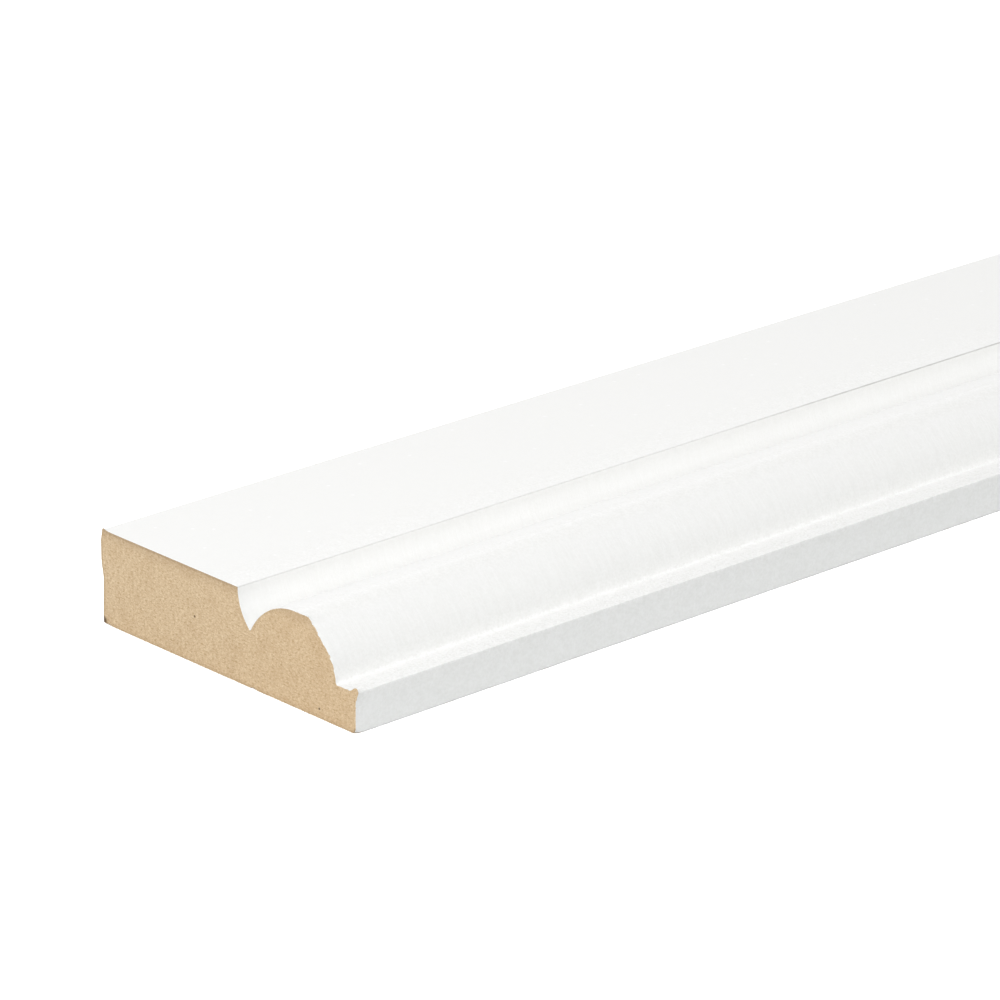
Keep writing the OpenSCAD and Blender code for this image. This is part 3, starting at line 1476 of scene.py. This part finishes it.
@dataclass(frozen=True)
class Lamp:
    """One soft rectangular lamp that faces a point on the board."""

    name: str
    place: Triple
    target: Triple
    size: Point
    power: float

    def build(self) -> bpy.types.Object:
        """Makes the lamp.

        Returns:
            The lamp's object.
        """
        light = bpy.data.lights.new(self.name, "AREA")
        light.shape = "RECTANGLE"
        light.size, light.size_y = self.size
        light.energy = self.power
        made = in_scene(self.name, light)
        made.location = self.place
        made.rotation_mode = "QUATERNION"
        toward = Vector(self.target) - Vector(self.place)
        made.rotation_quaternion = toward.to_track_quat("-Z", "Y")
        return made


@dataclass
class Studio:
    """The pale floor, the lamps, the white surround and the camera.

    focal_px is the camera's focal length in pixels of a picture frame_px wide, and back_off its place, seen
    from the near corner of the board. floor_seen and ambient are what the camera sees of the floor, and what
    light the surround gives, against a plain white surround.
    """

    near_end: float
    nose_side: float
    focal_px: float = 5905.1
    frame_px: float = 1000.0
    sensor: float = 36.0
    clip: Point = (0.05, 40.0)
    azimuth: float = math.radians(-42.586)
    elevation: float = math.radians(20.759)
    roll: float = math.radians(0.272)
    back_off: Triple = (-0.61199, -0.70199, 0.39592)
    floor_size: float = 60.0
    floor_drop: float = 0.1 * MM
    floor_colour: Colour = (0.48, 0.5, 0.5)
    floor_seen: float = 2.0
    ambient: float = 0.5

    def lamps(self) -> list[Lamp]:
        """The lamps, placed from the near end of the board.

        Returns:
            The lamps.
        """
        x, y = self.near_end, self.nose_side
        target = (x + 0.12, y + 0.03, 0.0)
        return [
            Lamp("close_lamp", (x - 0.35, y - 0.35, 0.8), target, (0.8, 0.6), 1.9),
            Lamp("end_lamp", (x - 1.5, y, 0.8), target, (1.4, 1.0), 12.0),
            Lamp("back_lamp", (x + 0.7, y + 1.2, 0.8), target, (1.2, 0.8), 4.3),
            Lamp("camera_lamp", (x - 1.2, y - 1.2, 0.9), target, (1.2, 1.0), 6.5),
            Lamp("middle_lamp", (x + 1.1, y - 1.2, 0.4), target, (1.2, 0.6), 3.45),
            Lamp("far_lamp", (x + 3.0, y - 0.5, 0.9), (x + 2.0, y, 0.0), (1.2, 0.8), 8.0),
        ]

    def _seen(self, tree: bpy.types.NodeTree) -> Socket:
        """1 for the camera's own rays and for those that gloss or glass sends on, and 0 for the rest.

        Args:
            tree: the node tree that gets the nodes.

        Returns:
            The output to read.
        """
        rays = tree.nodes.new("ShaderNodeLightPath").outputs
        seen = rays["Is Camera Ray"]
        for name in ("Is Glossy Ray", "Is Transmission Ray"):
            either = tree.nodes.new("ShaderNodeMath")
            either.operation = "MAXIMUM"
            tree.links.new(seen, either.inputs[0])
            tree.links.new(rays[name], either.inputs[1])
            seen = either.outputs[0]
        return seen

    def floor(self) -> bpy.types.Object:
        """A pale floor that the camera sees as white where no shadow falls on it.

        Returns:
            The floor's object.
        """
        half = self.floor_size / 2
        corners = [(-half, -half), (half, -half), (half, half), (-half, half)]
        mesh = bpy.data.meshes.new("floor")
        mesh.from_pydata([(x, y, -self.floor_drop) for x, y in corners], [], [(0, 1, 2, 3)])
        g = Graph("pale_floor")
        colour = g.mixed(self._seen(g.tree), self.floor_colour, (self.floor_seen,) * 3)
        mesh.materials.append(g.dress(colour, 1.0, 0.0))
        made = in_scene("floor", mesh)
        return made

    def world(self) -> bpy.types.World:
        """A surround that the camera sees as white and that lights the board evenly.

        Returns:
            The world.
        """
        world = bpy.data.worlds.new("white_surround")
        world.use_nodes = True
        tree = world.node_tree
        shader = tree.nodes["Background"]
        strength = tree.nodes.new("ShaderNodeMapRange")
        strength.inputs["To Min"].default_value = self.ambient
        strength.inputs["To Max"].default_value = 1.0
        tree.links.new(self._seen(tree), strength.inputs["Value"])
        tree.links.new(strength.outputs[0], shader.inputs["Strength"])
        shader.inputs["Color"].default_value = (1, 1, 1, 1)
        bpy.context.scene.world = world
        return world

    def camera(self) -> bpy.types.Object:
        """The photograph's camera, solved from the board's edges and its cut end.

        Returns:
            The camera's object.
        """
        data = bpy.data.cameras.new("camera")
        data.sensor_width = self.sensor
        data.lens = self.focal_px * self.sensor / self.frame_px
        data.clip_start, data.clip_end = self.clip
        made = in_scene("camera", data)
        flat = math.cos(self.elevation)
        look = (-math.sin(self.azimuth) * flat, math.cos(self.azimuth) * flat, -math.sin(self.elevation))
        turn = Vector(look).to_track_quat("-Z", "Y").to_matrix() @ Matrix.Rotation(self.roll, 3, "Z")
        corner = Vector((self.near_end, self.nose_side, 0.0))
        made.matrix_world = Matrix.Translation(corner + Vector(self.back_off)) @ turn.to_4x4()
        bpy.context.scene.camera = made
        return made


def main() -> None:
    """Builds the board and the studio in order."""
    logging.basicConfig(level=logging.INFO, format="%(name)s: %(message)s")
    bpy.context.scene.view_settings.view_transform = "Standard"
    low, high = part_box(NODE)
    length, width, thickness = high - low
    section = Section(width, thickness)
    board = Board(length, section, Atlas(length, section)).build()
    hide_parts(NODE)
    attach(board, "root")
    LOG.info("%s: %d faces", board.name, len(board.data.polygons))
    studio = Studio(low.x, low.y)
    LOG.info("floor: %s", studio.floor().name)
    LOG.info("surround: %s", studio.world().name)
    for lamp in studio.lamps():
        LOG.info("lamp: %s", lamp.build().name)
    LOG.info("camera: %s", studio.camera().name)


if __name__ == "__main__":
    main()
